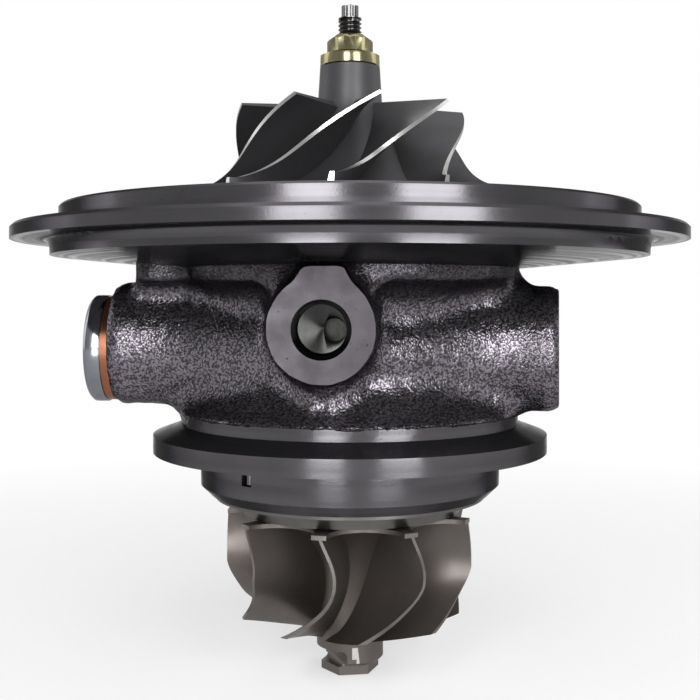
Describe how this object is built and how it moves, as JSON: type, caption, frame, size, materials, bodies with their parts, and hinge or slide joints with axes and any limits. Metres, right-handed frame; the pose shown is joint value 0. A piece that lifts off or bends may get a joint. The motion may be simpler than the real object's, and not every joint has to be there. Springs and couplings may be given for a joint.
{
  "type": "turbo cartridge",
  "caption": "Turbocharger centre cartridge: water-cooled bearing housing with a large compressor-side disc, V flange, turbine and compressor wheels on one shaft.",
  "frame": {"origin": "on the rotor axis at the seating face of the turbine-side clamp flange", "axes": "+Z along the rotor axis towards the compressor, -Y towards the oil inlet, +X towards the open water port"},
  "size_m": [0.22, 0.22, 0.2233],
  "materials": {
    "cast_iron": "rough cast iron with satin machined faces",
    "machined_steel": "ground steel",
    "dark_steel": "oiled dark steel",
    "turbine_alloy": "investment cast nickel alloy, matt",
    "compressor_alloy": "matt dark cast aluminium with bright machined edges",
    "yellow_zinc": "yellow passivated zinc",
    "bright_zinc": "bright zinc plate",
    "copper": "soft copper",
    "bearing_bronze": "turned bronze",
    "sheet_steel": "pressed stainless sheet",
    "seal_rubber": "matt"
  },
  "bodies": {
    "housing": {"bearing_housing": "cast_iron", "locating_pin": "dark_steel", "water_plug": "bright_zinc", "plug_washer": "copper", "heat_shield": "sheet_steel", "bearing_circlips": "dark_steel", "thrust_bearing": "bearing_bronze", "thrust_bearing_dowels": "machined_steel", "oil_deflector": "sheet_steel", "seal_plate": "machined_steel", "seal_plate_o_ring": "seal_rubber", "seal_plate_circlip": "dark_steel", "piston_ring_turbine": "dark_steel", "piston_ring_compressor": "dark_steel"},
    "rotor": {"rotor_shaft": "dark_steel", "thrust_collar": "machined_steel", "seal_sleeve": "machined_steel", "compressor_wheel": "compressor_alloy", "turbine_wheel": "turbine_alloy", "compressor_nut": "yellow_zinc"},
    "turbine_bush": {"journal_bearing_turbine": "bearing_bronze"},
    "compressor_bush": {"journal_bearing_compressor": "bearing_bronze"}
  },
  "joints": [
    {"name": "rotor_spin", "type": "hinge", "parent": "housing", "child": "rotor", "pos_m": [0, 0, 0], "axis": [0, 0, 1], "continuous": true},
    {"name": "turbine_bush_float", "type": "hinge", "parent": "housing", "child": "turbine_bush", "pos_m": [0, 0, 0.018], "axis": [0, 0, 1], "continuous": true},
    {"name": "compressor_bush_float", "type": "hinge", "parent": "housing", "child": "compressor_bush", "pos_m": [0, 0, 0.0455], "axis": [0, 0, 1], "continuous": true}
  ],
  "couplings": [
    {"joint": "turbine_bush_float", "follows": "rotor_spin", "ratio": 0.25},
    {"joint": "compressor_bush_float", "follows": "rotor_spin", "ratio": 0.25}
  ]
}
